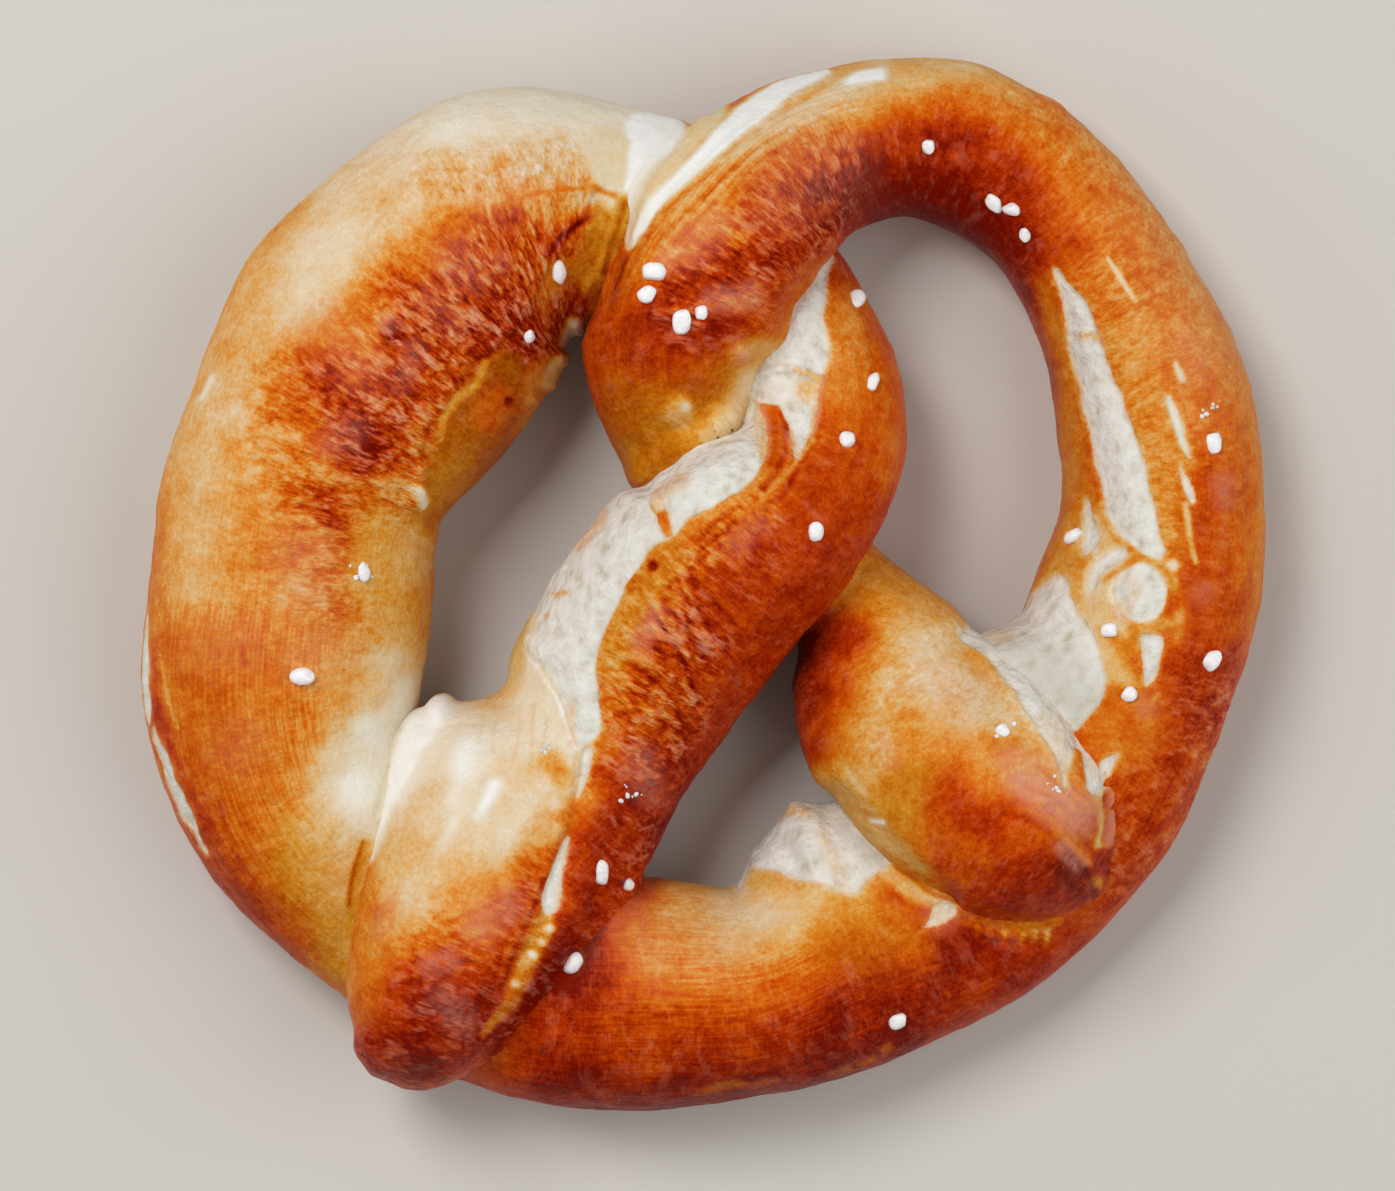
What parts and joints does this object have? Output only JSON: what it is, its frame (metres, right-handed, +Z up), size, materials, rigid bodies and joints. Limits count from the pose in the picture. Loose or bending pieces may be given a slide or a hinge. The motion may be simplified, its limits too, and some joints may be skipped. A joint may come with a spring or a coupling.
{
  "type": "soft pretzel",
  "caption": "Soft baked pretzel: one thick rope of dough looped and twisted, both ends pressed on the loop, with split crust and coarse salt.",
  "frame": {"origin": "on the surface it lies on, under the middle of its outline", "axes": "+X along the widest way across, +Y towards the side where the two loops meet, +Z up"},
  "size_m": [0.1499, 0.1403, 0.0375],
  "materials": {
    "crust": "browned bread crust with pale splits, soft lye-glaze sheen",
    "salt": "coarse white salt grains"
  },
  "bodies": {
    "root": {"pretzel": "crust"}
  },
  "joints": []
}
